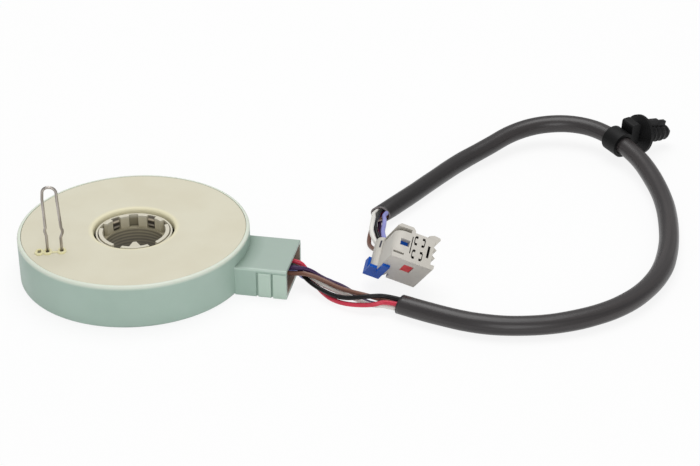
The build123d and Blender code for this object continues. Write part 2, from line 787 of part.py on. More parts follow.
def plug_terminal(cell):
    """Contact in one cavity, with the crimp that meets its lead."""
    y, z = contact_cells()[cell]
    wide = terminal_w / 2
    x = lead_in + crimp_l
    body = block(x, x + terminal_l, y - wide, y + wide, z - wide, z + wide)
    crimp = along_x(crimp_d / 2, lead_in, x, y, z)
    return plug_place() * (body + crimp)


def lead(name, places):
    """One lead from its socket in the box, through the sleeve, into the plug."""
    column, row = places["cell"]
    y, z = lead_grid_y[column], lead_grid_z[row]
    start = [(strip_end - strip_socket, y, z), (box_end + lead_straight, y, z)]
    angle = radians(places["angle"])
    middle = offset_route(lead_ring(), bundle_r * cos(angle), bundle_r * sin(angle))
    y, z = contact_cells()[places["contact"]]
    end = [tuple((plug_place() * Pos(x, y, z)).position) for x in (-lead_out, lead_in)]
    return cord(name, start + places["front"] + middle + places["rear"] + end, lead_r)


def build():
    """Every piece by name."""
    nodes = {
        "housing": housing(),
        "wire_box": wire_box(),
        "cover": cover(),
        "hub": hub(),
        "outer_sleeve": outer_sleeve(),
        "rotor_disc": rotor_disc(),
        "track_board": track_board(),
        "terminal_strip": terminal_strip(),
        "terminal_pins": terminal_pins(),
        "wire_seal": wire_seal(),
        "lock_pin": lock_pin(),
        "cable_sleeve": cord("cable_sleeve", sleeve_route, sleeve_r, bore_r),
        "harness_clip": harness_clip(),
        "plug_housing": plug_housing(),
        "plug_wire_cover": plug_wire_cover(),
        "plug_position_lock": plug_position_lock(),
        "plug_terminal_lock": plug_terminal_lock(),
        "plug_coding_key": plug_coding_key(),
    }
    for i, angle in enumerate(spring_angles, 1):
        nodes[f"hub_spring_{i}"] = hub_spring(angle)
    for i, angle in enumerate(wiper_angles, 1):
        nodes[f"wiper_{i}"] = wiper(angle)
    for name, places in leads.items():
        nodes[f"lead_{name}"] = lead(f"lead_{name}", places)
        nodes[f"terminal_{name}"] = plug_terminal(places["contact"])
    return nodes


for node, shape in build().items():
    shape.label = node
    export_step(shape, f"parts/{node}.step")
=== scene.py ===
# %% [markdown]
# # A steering angle sensor with its harness
# The solids of this sensor come from a CAD model: a flat disc housing, a hub for the steering
# shaft, a wire locking pin, and six leads in a sleeve that end in a plug. This lesson dresses
# them. The rigid solids keep their shape and get finishes. The sleeve and the leads are bendy,
# so they are made again here as smooth curves along the same routes.

# %% Load the frame
from math import cos, pi, radians, sin

import bpy
from mathutils import Matrix, Vector


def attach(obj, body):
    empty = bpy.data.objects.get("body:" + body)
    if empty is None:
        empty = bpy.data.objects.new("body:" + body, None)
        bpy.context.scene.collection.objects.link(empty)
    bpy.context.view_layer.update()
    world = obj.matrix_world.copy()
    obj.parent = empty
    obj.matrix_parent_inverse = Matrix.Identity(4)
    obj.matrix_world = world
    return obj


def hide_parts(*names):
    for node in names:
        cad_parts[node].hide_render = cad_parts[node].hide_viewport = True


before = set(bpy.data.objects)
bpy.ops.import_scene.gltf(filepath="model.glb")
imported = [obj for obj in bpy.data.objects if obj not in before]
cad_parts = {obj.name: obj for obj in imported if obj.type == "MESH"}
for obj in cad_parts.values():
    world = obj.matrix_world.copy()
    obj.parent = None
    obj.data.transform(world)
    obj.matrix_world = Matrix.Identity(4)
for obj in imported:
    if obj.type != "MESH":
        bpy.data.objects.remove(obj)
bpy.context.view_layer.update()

MM = 0.001

# %% [markdown]
# ## The camera
# A product picture like this one is taken with a long lens from a little above the table. The
# place and the lens here were worked out from the ellipse of the disc and the width of the box,
# which are of known size. The picture is level, so the camera is only turned and tipped down.

# %% Camera
camera_data = bpy.data.cameras.new("product_camera")
camera_data.sensor_width = 36.0
camera_data.lens = 91.59
camera_data.clip_start = 0.01
tipped_down, turned_left = 29.256, 10.7
camera = bpy.data.objects.new("product_camera", camera_data)
camera.location = (0.1732, -0.5145, 0.3149)
camera.rotation_euler = (radians(90 - tipped_down), 0, radians(turned_left))
bpy.context.collection.objects.link(camera)
bpy.context.scene.camera = camera
print("camera at", tuple(round(v, 3) for v in camera.location))

# %% [markdown]
# ## Routes of the sleeve and the leads
# A bendy thing needs a line before it needs a surface. The sleeve leaves the box's side in a wide
# loop on the table, is lifted where its clip stands on its flange, and comes back to the plug.
# The six leads lie on a ring inside it. A quadratic NURBS spline is the right line for them: it
# rounds every corner of the route by itself, and it stays inside the route's points, so it never
# dips through the table.

# %% Route points, in millimetres
sleeve_route = [
    (95.5, -13, 3.6), (112, -19, 3.6), (129.5, -21, 3.6), (147, -16.5, 3.6), (162.5, -7, 3.6),
    (173.5, 6, 3.6), (180.5, 23, 3.6), (182.5, 40.5, 3.6), (182, 58, 3.6), (180, 75.5, 3.6),
    (175, 92, 4.8), (167.7, 107.3, 6.7), (154.2, 122.1, 8.3), (142.2, 126.7, 8.5),
    (129.2, 124.9, 7.8), (118.6, 117.7, 6.6), (110.5, 106.6, 4.9), (101, 94, 3.7),
    (93.5, 78.5, 3.6), (86, 62, 3.6), (78, 46.5, 3.6),
]
bundle_r, mouth_l = 1.9, 4.5
box_socket_x, box_exit_x, box_mouth_x = 48.8, 56.3, 57.3
box_y, box_z = (-2.8, -0.2, 2.4), (5.25, 7.7)
leads = {
    "brown": dict(cell=(0, 0), angle=330, plug=(0, 3),
                  start=[(312, bundle_r)],
                  front=[(61.7, -3.7, 6.4), (68.6, -4.8, 4.6),
                         (74.9, -8.1, 4.0), (85.1, -13.1, 5.6)],
                  rear=[(77.4, 40.2, 5.1), (76.8, 29.3, 1.7), (79.9, 22.2, 3.1)]),
    "violet": dict(cell=(0, 1), angle=270, plug=(1, 2),
                   start=[(262, bundle_r)],
                   front=[(61.8, -1.4, 6.8), (67.5, -2.0, 3.6),
                          (75.7, -5.3, 3.3), (82.9, -10.0, 0.9)],
                   rear=[(79.3, 40.5, 1.7), (80.5, 33.8, 1.0), (84.0, 26.5, 3.3)]),
    "blue": dict(cell=(1, 0), angle=30, plug=(1, 3),
                 start=[(5, bundle_r)],
                 front=[(60.1, 0.1, 1.7), (67.4, 3.7, 0.9),
                        (75.6, -4.9, 1.0), (83.1, -5.8, 0.9)],
                 rear=[(81.8, 37.5, 6.8), (82.4, 25.2, 6.7)]),
    "black": dict(cell=(1, 1), angle=90, plug=(1, 1),
                  front=[(60.3, -2.1, 3.9), (66.4, -7.3, 3.0),
                         (75.5, -13.0, 3.3), (85.2, -14.2, 6.2)],
                  rear=[(78.6, 40.6, 6.2), (78.6, 31.7, 8.3), (81.7, 25.7, 4.4)]),
    "red": dict(cell=(2, 1), angle=210, plug=(0, 1),
                start=[(150, bundle_r), (0, 0), (0, 0)],
                front=[(60.4, 2.7, 4.1), (66.1, -5.3, 1.2),
                       (74.4, -13.5, 1.6), (86.6, -15.2, 3.2)],
                rear=[(77.2, 41.5, 2.1), (79.4, 34.5, 2.7), (80.7, 25.8, 2.4)]),
    "white": dict(cell=(2, 0), angle=150, plug=(0, 2),
                  start=[(210, bundle_r), (210, bundle_r), (150, bundle_r)],
                  front=[(62.7, -2.0, 4.3), (67.9, -5.1, 2.9),
                         (77.3, -8.8, 2.2), (84.9, -12.4, 1.5)],
                  rear=[(76.7, 41.0, 6.4), (78.2, 34.5, 9.9), (78.9, 21.2, 8.9)]),
}
print("route points of the sleeve:", len(sleeve_route))


# %% Place of the plug, as in the CAD model, in millimetres and degrees
plug_corner, plug_w = Vector((97.6, 4.0, 0.15)), 15.3
plug_yaw, plug_tilt, plug_roll = -50.3, 47.5, -35.8
contact_pitch, first_contact_y, first_contact_z = 2.54, -0.3, 1.9
lead_before_plug, lead_in_plug = -2.5, 5.0


def plug_point(x, y, z):
    """A point of the plug, x from its rear, y from its middle, z from its bottom, in mm."""
    turn = (Matrix.Rotation(radians(plug_yaw), 3, "Z")
            @ Matrix.Rotation(radians(-plug_tilt), 3, "Y")
            @ Matrix.Rotation(radians(plug_roll), 3, "X"))
    return plug_corner + turn @ Vector((x, y - plug_w / 2, z))


def contact(column, row, x):
    """A point on the axis of one of the plug's places."""
    return plug_point(x, first_contact_y + contact_pitch * column,
                      first_contact_z + contact_pitch * row)


print("plug's first place at", tuple(round(v, 1) for v in contact(0, 0, 0)))


# %% Lines of the leads
def lead_ring():
    """The sleeve's route, let out at its front end, which the leads keep to."""
    route = [Vector(p) for p in sleeve_route]
    return [route[0] + (route[0] - route[1]).normalized() * mouth_l] + route[1:]


def beside(route, places):
    """The same route, each point moved to its place (angle, radius) round the middle."""
    ways = [(b - a).to_2d().normalized() for a, b in zip(route, route[1:])]
    moved = []
    for i, (p, (angle, radius)) in enumerate(zip(route, places)):
        first, second = ways[max(i - 1, 0)], ways[min(i, len(ways) - 1)]
        left = Vector((-first.y - second.y, first.x + second.x)) / (1 + first.dot(second))
        shift = left * radius * cos(radians(angle))
        moved.append(p + Vector((shift.x, shift.y, radius * sin(radians(angle)))))
    return moved


def lead_route(lead):
    """All the points of one lead, from its socket in the box into the plug."""
    y, z = box_y[lead["cell"][0]], box_z[lead["cell"][1]]
    ring, start = lead_ring(), lead.get("start", [])
    places = start + [(lead["angle"], bundle_r)] * (len(ring) - len(start))
    points = [(box_socket_x, y, z), (box_mouth_x, y, z)] + lead["front"]
    points += beside(ring, places) + lead["rear"]
    return points + [contact(*lead["plug"], x) for x in (lead_before_plug, lead_in_plug)]


def spline_curve(name, points, bevel=0.0):
    """A curve object of one open quadratic NURBS spline.

    The thickness is in the points' own radius, because Blender adds that radius to a curve's
    box.
    box, and the other views are framed by the boxes."""
    data = bpy.data.curves.new(name, "CURVE")
    data.dimensions = "3D"
    data.resolution_u = 8
    spline = data.splines.new("NURBS")
    spline.points.add(len(points) - 1)
    for here, p in zip(spline.points, points):
        here.co = (*(Vector(p) * MM), 1)
        here.radius = bevel
    spline.order_u = 3
    spline.use_endpoint_u = True
    data.bevel_depth = 1.0 if bevel > 0 else 0.0
    data.bevel_resolution = 5
    data.use_fill_caps = bevel > 0
    curve = bpy.data.objects.new(name, data)
    bpy.context.collection.objects.link(curve)
    return curve


def points_along(curve):
    """The points of a curve's own smooth line."""
    shown = curve.evaluated_get(bpy.context.evaluated_depsgraph_get())
    mesh = bpy.data.meshes.new_from_object(shown)
    points = [v.co.copy() for v in mesh.vertices]
    bpy.data.meshes.remove(mesh)
    return points


def length_of(points):
    """The length of the line through the points."""
    return sum((b - a).length for a, b in zip(points, points[1:]))


# %% Make the leads
lead_d = 1.6 * MM
lead_pieces = {}
for name, lead in leads.items():
    line = spline_curve("measure_" + name, lead_route(lead))
    measured = length_of(points_along(line))
    bpy.data.objects.remove(line)
    piece = spline_curve("wire_" + name, lead_route(lead), lead_d / 2)
    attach(piece, "sensor")
    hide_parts("lead_" + name)
    lead_pieces[name] = piece
    print(name, "lead:", round(measured * 1000), "mm")

# %% [markdown]
# ## The sleeve
# The sleeve is a soft plastic tube. It isn't a perfect pipe: it bulges slightly over the leads,
# and its cut end by the plug has been pressed flat and sits slanted. Geometry Nodes suit this,
# because every point of the tube can know how far along it is, and where the middle of the tube
# is beside it. The tree sweeps a circle along the line, presses the end and adds gentle bulges.
# A Solidify modifier then gives the wall its real thickness.


# %% A small kit for node trees
def link(tree, source, target):
    tree.links.new(source, target)


def feed(tree, socket, value):
    """Give a socket another node's output, or a plain number, vector or colour."""
    if isinstance(value, bpy.types.NodeSocket):
        link(tree, value, socket)
    else:
        socket.default_value = value


def math_node(tree, operation, *values):
    """A Math node with sockets or numbers for its inputs."""
    node = tree.nodes.new("ShaderNodeMath")
    node.operation = operation
    for socket, value in zip(node.inputs, values):
        feed(tree, socket, value)
    return node.outputs[0]


def vector_node(tree, operation, *values, scale=None):
    """A Vector Math node with sockets or vectors for its inputs."""
    node = tree.nodes.new("ShaderNodeVectorMath")
    node.operation = operation
    for socket, value in zip(node.inputs, values):
        feed(tree, socket, value)
    if scale is not None:
        feed(tree, node.inputs["Scale"], scale)
    return node.outputs["Value" if operation in ("DOT_PRODUCT", "LENGTH") else "Vector"]


def part_of(tree, vector, axis):
    """One number of a vector, by its axis, "X", "Y" or "Z"."""
    split = tree.nodes.new("ShaderNodeSeparateXYZ")
    link(tree, vector, split.inputs[0])
    return split.outputs[axis]


def noise(tree, place, scale, detail=2):
    """The grey value of a Noise Texture."""
    node = tree.nodes.new("ShaderNodeTexNoise")
    for name, value in (("Vector", place), ("Scale", scale), ("Detail", detail)):
        feed(tree, node.inputs[name], value)
    return node.outputs[0]


# %% The tree that sweeps the sleeve
def sleeve_tree():
    """A tube swept along a line, pressed and slanted at its end, with gentle bulges."""
    tree = bpy.data.node_groups.new("sleeve_sweep", "GeometryNodeTree")
    sockets = tree.interface
    sockets.new_socket("Line", in_out="INPUT", socket_type="NodeSocketGeometry")
    sizes = {"Radius": 0.0035, "Bulge": 0.00035, "Flat": 0.1, "Press": 0.1, "Slant": 0.24,
             "Trim": 0.0007, "Length": 0.33}
    for name, value in sizes.items():
        socket = sockets.new_socket(name, in_out="INPUT", socket_type="NodeSocketFloat")
        socket.default_value = value
    sockets.new_socket("Finish", in_out="INPUT", socket_type="NodeSocketMaterial")
    sockets.new_socket("Sleeve", in_out="OUTPUT", socket_type="NodeSocketGeometry")
    start = tree.nodes.new("NodeGroupInput").outputs
    new = tree.nodes.new
    stations, sides = 260, 40
    widening, front_slant = 0.55, 0.12

    resample = new("GeometryNodeResampleCurve")
    resample.inputs["Count"].default_value = stations
    link(tree, start["Line"], resample.inputs["Curve"])
    share = new("GeometryNodeSplineParameter").outputs["Factor"]
    capture = new("GeometryNodeCaptureAttribute")
    capture.domain = "POINT"
    for kind, name, value in (("FLOAT", "Share", share),
                              ("VECTOR", "Middle", new("GeometryNodeInputPosition").outputs[0]),
                              ("VECTOR", "Way", new("GeometryNodeInputTangent").outputs[0])):
        capture.capture_items.new(kind, name)
        link(tree, value, capture.inputs[name])
    link(tree, resample.outputs["Curve"], capture.inputs["Geometry"])
    ring = new("GeometryNodeCurvePrimitiveCircle")
    ring.inputs["Resolution"].default_value = sides
    link(tree, start["Radius"], ring.inputs["Radius"])
    turn = new("GeometryNodeCaptureAttribute")
    turn.capture_items.new("FLOAT", "Turn")
    link(tree, new("GeometryNodeSplineParameter").outputs["Factor"], turn.inputs["Turn"])
    link(tree, ring.outputs["Curve"], turn.inputs["Geometry"])
    sweep = new("GeometryNodeCurveToMesh")
    link(tree, capture.outputs["Geometry"], sweep.inputs["Curve"])
    link(tree, turn.outputs["Geometry"], sweep.inputs["Profile Curve"])

    share, middle, way = (capture.outputs[n] for n in ("Share", "Middle", "Way"))
    place = new("GeometryNodeInputPosition").outputs[0]
    out = vector_node(tree, "SUBTRACT", place, middle)
    up = part_of(tree, out, "Z")
    normal = vector_node(tree, "NORMALIZE", out)
    swell = math_node(tree, "MULTIPLY", start["Bulge"],
                      math_node(tree, "SUBTRACT", noise(tree, place, 55, 1), 0.5))
    # High powers of the share are near 0 all along the tube, and grow to 1 only at one end.
    end = math_node(tree, "POWER", share, 60.0)
    front = math_node(tree, "POWER", math_node(tree, "SUBTRACT", 1.0, share), 150.0)
    press = math_node(tree, "ADD", math_node(tree, "MULTIPLY", end, start["Press"]),
                      math_node(tree, "MULTIPLY", noise(tree, middle, 22), start["Flat"]))
    drop = new("ShaderNodeCombineXYZ")
    link(tree, math_node(tree, "MULTIPLY", math_node(tree, "MULTIPLY", up, press), -1.0),
         drop.inputs["Z"])
    side = vector_node(tree, "CROSS_PRODUCT", way, (0.0, 0.0, 1.0))
    aside = vector_node(tree, "DOT_PRODUCT", out, side)
    widen = vector_node(tree, "SCALE", side, scale=math_node(
        tree, "MULTIPLY", aside, math_node(tree, "MULTIPLY", press, widening)))
    tilt = math_node(tree, "SUBTRACT", math_node(tree, "MULTIPLY", aside, start["Slant"]),
                     start["Trim"])
    slant = vector_node(tree, "SCALE", way, scale=math_node(tree, "MULTIPLY", tilt, end))
    slant_front = vector_node(tree, "SCALE", way, scale=math_node(
        tree, "MULTIPLY", up, math_node(tree, "MULTIPLY", front, front_slant)))
    offset = vector_node(tree, "SCALE", normal, scale=swell)
    for part in (widen, slant, slant_front, drop.outputs[0]):
        offset = vector_node(tree, "ADD", offset, part)
    move = new("GeometryNodeSetPosition")
    link(tree, sweep.outputs["Mesh"], move.inputs["Geometry"])
    link(tree, offset, move.inputs["Offset"])

    # The tube carries its own coordinates: a circle in X and Y, and the length along it in Z.
    angle = math_node(tree, "MULTIPLY", turn.outputs["Turn"], 2 * pi)
    unrolled = new("ShaderNodeCombineXYZ")
    link(tree, math_node(tree, "COSINE", angle), unrolled.inputs["X"])
    link(tree, math_node(tree, "SINE", angle), unrolled.inputs["Y"])
    link(tree, math_node(tree, "MULTIPLY", share, start["Length"]), unrolled.inputs["Z"])
    store = new("GeometryNodeStoreNamedAttribute")
    store.data_type = "FLOAT_VECTOR"
    store.inputs["Name"].default_value = "unrolled"
    link(tree, move.outputs["Geometry"], store.inputs["Geometry"])
    link(tree, unrolled.outputs[0], store.inputs["Value"])
    realize = new("GeometryNodeRealizeInstances")
    link(tree, store.outputs["Geometry"], realize.inputs["Geometry"])
    finish = new("GeometryNodeSetMaterial")
    link(tree, realize.outputs["Geometry"], finish.inputs["Geometry"])
    link(tree, start["Finish"], finish.inputs["Material"])
    link(tree, finish.outputs["Geometry"], new("NodeGroupOutput").inputs["Sleeve"])
    return tree


def set_input(modifier, name, value):
    """Set a Geometry Nodes input by its socket's identifier."""
    for item in modifier.node_group.interface.items_tree:
        if item.item_type == "SOCKET" and item.in_out == "INPUT" and item.name == name:
            modifier[item.identifier] = value
            return
    raise KeyError(name)


def as_mesh(obj, name):
    """A plain mesh object of what a modified object shows."""
    shown = obj.evaluated_get(bpy.context.evaluated_depsgraph_get())
    mesh = bpy.data.meshes.new_from_object(shown)
    bpy.data.objects.remove(obj)
    piece = bpy.data.objects.new(name, mesh)
    bpy.context.collection.objects.link(piece)
    return piece


# %% Make the sleeve
sleeve_wall = 0.55 * MM
sleeve_finish = bpy.data.materials.new("sleeve_plastic_finish")
sleeve_line = spline_curve("sleeve_line", sleeve_route)
sleeve_path = points_along(sleeve_line)
sleeve_length = length_of(sleeve_path)
sweep_modifier = sleeve_line.modifiers.new("sweep", "NODES")
sweep_modifier.node_group = sleeve_tree()
set_input(sweep_modifier, "Length", sleeve_length)
set_input(sweep_modifier, "Finish", sleeve_finish)
sleeve = as_mesh(sleeve_line, "sleeve")
wall = sleeve.modifiers.new("wall", "SOLIDIFY")
wall.thickness = sleeve_wall
wall.offset = -1
sleeve = as_mesh(sleeve, "sleeve_tube")
sleeve.data.shade_smooth()
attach(sleeve, "sensor")
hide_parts("cable_sleeve")
print("sleeve:", round(sleeve_length * 1000), "mm,", len(sleeve.data.polygons), "faces")

# %% [markdown]
# ## Small moulded forms
# Two places look fuller in the picture than their solids: the clip's fir tree, which ends in a
# blunt dome, and the rounded lips round the pin's slots. A turned profile makes the first, and
# closed curves with a round bevel make the others. Each sits on the solid that carries it.


# %% Fir tree of the clip
def turned(profile, steps=48):
    """Points and faces of a closed profile, (along, radius) pairs, turned about X."""
    points = [(x, r * cos(2 * pi * i / steps), r * sin(2 * pi * i / steps))
              for x, r in profile for i in range(steps)]
    faces = [(a * steps + i, a * steps + (i + 1) % steps, (a + 1) * steps + (i + 1) % steps,
              (a + 1) * steps + i) for a in range(len(profile) - 1) for i in range(steps)]
    return points, faces


def solid_piece(name, points, faces, place):
    """A mesh piece from points in millimetres, moved by a matrix."""
    mesh = bpy.data.meshes.new(name)
    mesh.from_pydata([place @ Vector(p) * MM for p in points], [], faces)
    mesh.validate()
    piece = bpy.data.objects.new(name, mesh)
    bpy.context.collection.objects.link(piece)
    return piece


shank = Vector((168.26, 122.95, 8.01))
out, up = Vector((0.7167, 0.6732, -0.1816)), Vector((0.1873, 0.0650, 0.9799))
shank_place = Matrix.Translation(shank) @ Matrix((out, up.cross(out), up)).transposed().to_4x4()
first_fin_x, fin_pitch, soft_edge = 0.5, 2.3, 0.15
fins = [3.9, 3.82, 3.72, 3.6, 3.45]
tree_profile = [(0.3, 0.0), (0.3, 3.3)]
for i, fin in enumerate(fins):
    x = first_fin_x + fin_pitch * i
    tree_profile += [(x, fin), (x + 0.45, fin), (x + 1.3, fin - 0.5), (x + 2.0, fin - 0.55)]
tree_profile += [(12.4, 3.1), (13.2, 2.7), (14.1, 2.0), (14.8, 1.2), (15.2, 0.5), (15.3, 0.0)]
points, faces = turned(tree_profile)
# A short rail stands on the shank, a plain box in the same mesh.
rail = [(x, y, z) for x in (6.9, 11.4) for y in (-0.9, 0.9) for z in (2.6, 5.2)]
sides = ((0, 1, 3, 2), (4, 6, 7, 5), (0, 4, 5, 1), (2, 3, 7, 6), (1, 5, 7, 3), (0, 2, 6, 4))
faces += [tuple(len(points) + i for i in side) for side in sides]
clip_tree = solid_piece("clip_tree", points + rail, faces, shank_place)
soft_edges = clip_tree.modifiers.new("edges", "BEVEL")
soft_edges.width, soft_edges.segments = soft_edge * MM, 2
clip_tree = as_mesh(clip_tree, "clip_fir_tree")
clip_tree.data.shade_smooth()
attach(clip_tree, "sensor")
print("fir tree:", len(clip_tree.data.polygons), "faces")


# %% Lips of the pin's slots
slot_middle, slot_turn = Vector((-21.70, -20.10, 15.86)), 18
slot_places, slot_shift = (-5.17, -2.37, 2.37), -0.9
lip_half_w, lip_half_l, lip_r = 0.9, 1.8, 0.38


def slot_lip(name, x, steps=12):
    """A rounded lip round one slot of the cover, x along the row of slots."""
    turn = Matrix.Rotation(radians(slot_turn), 3, "Z")
    ends = [(sign, pi * i / steps) for sign in (1, -1) for i in range(steps + 1)]
    data = bpy.data.curves.new(name, "CURVE")
    data.dimensions = "3D"
    spline = data.splines.new("POLY")
    spline.points.add(len(ends) - 1)
    for here, (sign, angle) in zip(spline.points, ends):
        y = slot_shift + sign * (lip_half_l - lip_half_w + lip_half_w * sin(angle))
        where = slot_middle + turn @ Vector((x + sign * lip_half_w * cos(angle), y, 0))
        here.co = (*(where * MM), 1)
    spline.use_cyclic_u = True
    data.bevel_depth, data.bevel_resolution = lip_r * MM, 4
    curve = bpy.data.objects.new(name, data)
    bpy.context.collection.objects.link(curve)
    lip = as_mesh(curve, name)
    lip.data.shade_smooth()
    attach(lip, "sensor")
    return lip


slot_lips = [slot_lip("slot_lip_%d" % i, x) for i, x in enumerate(slot_places)]
print("slot lips:", len(slot_lips))

# %% [markdown]
# ## Finishes
# Moulded plastic looks real when three small things vary: its colour by a few percent over a
# centimetre or two, its roughness with handling, and its surface by a grain too fine to see as
# a shape. One shared group gives all three, so each plastic only sets its own colours and sizes.


def paint(red, green, blue):
    """A screen colour, 0 to 255, as the linear colour that shaders use."""
    def linear(value):
        value /= 255
        return value / 12.92 if value <= 0.04045 else ((value + 0.055) / 1.055) ** 2.4
    return (linear(red), linear(green), linear(blue), 1.0)


def own_place(tree):
    """Where a point lies in its piece's own coordinates."""
    return tree.nodes.new("ShaderNodeTexCoord").outputs["Object"]


def map_range(tree, value, source, target=(0.0, 1.0)):
    """A value moved from one range to another, and kept inside the second."""
    node = tree.nodes.new("ShaderNodeMapRange")
    names = ("Value", "From Min", "From Max", "To Min", "To Max")
    for name, given in zip(names, (value, *source, *target)):
        feed(tree, node.inputs[name], given)
    return node.outputs[0]


def mix_colours(tree, share, first, second, blend="MIX"):
    """The first colour with a share of the second blended over it."""
    node = tree.nodes.new("ShaderNodeMix")
    node.data_type, node.blend_type = "RGBA", blend
    colour_a, colour_b = node.inputs[6], node.inputs[7]
    for socket, value in ((node.inputs["Factor"], share), (colour_a, first), (colour_b, second)):
        feed(tree, socket, value)
    return node.outputs[2]


def colour_ramp(tree, value, stops):
    """Colours by a value, each stop a place from 0 to 1 and a colour."""
    node = tree.nodes.new("ShaderNodeValToRGB")
    elements = node.color_ramp.elements
    while len(elements) < len(stops):
        elements.new(1.0)
    for element, (position, colour) in zip(elements, stops):
        element.position, element.color = position, colour
    link(tree, value, node.inputs[0])
    return node.outputs[0]


# %% The shared moulded surface
def moulded_group():
    """Two colours in soft patches, a roughness that follows them, and a fine grain."""
    group = bpy.data.node_groups.new("moulded_surface", "ShaderNodeTree")
    for name, kind, value in (("Colour", "Color", (0.8, 0.8, 0.8, 1)),
                              ("Second", "Color", (0.7, 0.7, 0.7, 1)),
                              ("Patch", "Float", 60.0), ("Grain", "Float", 1800.0),
                              ("Smooth", "Float", 0.4), ("Rough", "Float", 0.6),
                              ("Place", "Vector", None)):
        socket = group.interface.new_socket(name, in_out="INPUT", socket_type="NodeSocket" + kind)
        if value is not None:
            socket.default_value = value
    for name, kind in (("Colour", "Color"), ("Roughness", "Float"), ("Height", "Float")):
        group.interface.new_socket(name, in_out="OUTPUT", socket_type="NodeSocket" + kind)
    start = group.nodes.new("NodeGroupInput").outputs
    end = group.nodes.new("NodeGroupOutput").inputs
    patches = noise(group, start["Place"], start["Patch"], 3)
    colour = mix_colours(group, map_range(group, patches, (0.35, 0.65)),
                         start["Colour"], start["Second"])
    gloss = map_range(group, patches, (0.3, 0.7), (start["Smooth"], start["Rough"]))
    grain = noise(group, start["Place"], start["Grain"])
    for name, value in (("Colour", colour), ("Roughness", gloss), ("Height", grain)):
        link(group, value, end[name])
    return group


moulded = moulded_group()


def new_finish(name):
    """A material with only a Principled shader and its output."""
    material = bpy.data.materials.get(name) or bpy.data.materials.new(name)
    material.use_nodes = True
    tree = material.node_tree
    tree.nodes.clear()
    shader = tree.nodes.new("ShaderNodeBsdfPrincipled")
    link(tree, shader.outputs[0], tree.nodes.new("ShaderNodeOutputMaterial").inputs["Surface"])
    return material, tree, shader


def plastic(name, colour, second, smooth=0.4, rough=0.6, patch=60.0, grain=1800.0, relief=0.02,
            place=own_place, shine=0.5):
    """A moulded plastic; place gives the pattern's coordinates, shine the mirror level."""
    material, tree, shader = new_finish(name)
    surface = tree.nodes.new("ShaderNodeGroup")
    surface.node_tree = moulded
    for key, value in (("Colour", colour), ("Second", second), ("Patch", patch), ("Grain", grain),
                       ("Smooth", smooth), ("Rough", rough), ("Place", place(tree))):
        feed(tree, surface.inputs[key], value)
    bump = tree.nodes.new("ShaderNodeBump")
    bump.inputs["Strength"].default_value = 0.35
    bump.inputs["Distance"].default_value = relief * MM
    link(tree, surface.outputs["Height"], bump.inputs["Height"])
    link(tree, surface.outputs["Colour"], shader.inputs["Base Color"])
    link(tree, surface.outputs["Roughness"], shader.inputs["Roughness"])
    link(tree, bump.outputs[0], shader.inputs["Normal"])
    shader.inputs["Specular IOR Level"].default_value = shine
    return material, tree, shader


def dress(node, material):
    """Give a CAD node one material."""
    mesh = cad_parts[node].data
    mesh.materials.clear()
    mesh.materials.append(material)


# %% Masks by where a point is, with all their lengths in millimetres
def ring_mask(tree, inner, outer):
    """1 inside a circle about the shaft's axis and 0 outside, fading between two radii."""
    flat = vector_node(tree, "MULTIPLY", own_place(tree), (1, 1, 0))
    radius = vector_node(tree, "LENGTH", flat)
    return map_range(tree, radius, (inner * MM, outer * MM), (1.0, 0.0))


def height_mask(tree, low, high):
    """0 below one height and 1 above another."""
    return map_range(tree, part_of(tree, own_place(tree), "Z"), (low * MM, high * MM))


def between(tree, value, low, high, soft):
    """1 where a length lies between two others, with soft edges."""
    above = map_range(tree, value, ((low - soft) * MM, (low + soft) * MM))
    below = map_range(tree, value, ((high + soft) * MM, (high - soft) * MM))
    return math_node(tree, "MULTIPLY", above, below)


def range_mask(tree, axis, low, high, soft=0.1):
    """1 where a coordinate lies between two values."""
    return between(tree, part_of(tree, own_place(tree), axis), low, high, soft)


def tint(tree, shader, mask, colour):
    """Blend a colour over the shader's base colour where the mask is 1."""
    socket = shader.inputs["Base Color"]
    link(tree, mix_colours(tree, mask, socket.links[0].from_socket, colour), socket)


# %% [markdown]
# ## The housing, the cover and the hub
# The housing is a mint-green nylon, with a painted highlight that makes its rim paler. The
# cover is cream, and yellower round the shaft's hole and at the pin's guides. Both tints follow
# from where a point is, so masks of radius and height paint them.

# %% Finishes of the housing and the wire box
def mint_nylon(name):
    """The mint nylon, with a little light passing through it."""
    material, tree, shader = plastic(name, paint(170, 192, 180), paint(165, 187, 175), 0.38, 0.5)
    shader.inputs["Subsurface Weight"].default_value = 0.08
    shader.inputs["Subsurface Radius"].default_value = (0.002, 0.003, 0.002)
    return material, tree, shader


mint, tree, shader = mint_nylon("mint_nylon")
# Painted highlight: the top of the housing's rim is paler.
tint(tree, shader, height_mask(tree, 14.3, 15.3), paint(218, 225, 211))
dress("housing", mint)

# On the box, in this order: painted light on its long side, painted shade on its roof, a painted
# highlight on the edge between them, a painted shadow on the roof by the disc, and painted shade
# in the hollow, whose walls lie within 10.25 of the middle.
box_mint, tree, shader = mint_nylon("mint_nylon_box")
# Painted light: the long side is lighter than the base mint.
tint(tree, shader, range_mask(tree, "Y", -12.5, -11.45), paint(186, 206, 193))
roof = height_mask(tree, 10.3, 10.7)
# Painted shade: the roof is darker than the base mint.
tint(tree, shader, roof, paint(163, 180, 170))
# Painted highlight on the rounded edge between the long side and the roof.
edge = math_node(tree, "MULTIPLY", range_mask(tree, "Y", -11.6, -10.9, 0.2),
                 range_mask(tree, "Z", 9.9, 10.9, 0.2))
tint(tree, shader, edge, paint(190, 208, 197))
# Painted shadow on the roof next to the disc.
disc_shadow = math_node(tree, "MULTIPLY", ring_mask(tree, 40.0, 45.5), roof)
tint(tree, shader, disc_shadow, paint(132, 152, 140))
# Painted shade, brown-grey, on the walls of the hollow.
inside = math_node(tree, "MULTIPLY", range_mask(tree, "Y", -10.25, 10.25),
                   range_mask(tree, "Z", 1.0, 9.75))
tint(tree, shader, inside, paint(150, 134, 120))
dress("wire_box", box_mint)

# %% Finishes of the cover and the hub
ramp_top = 16.0

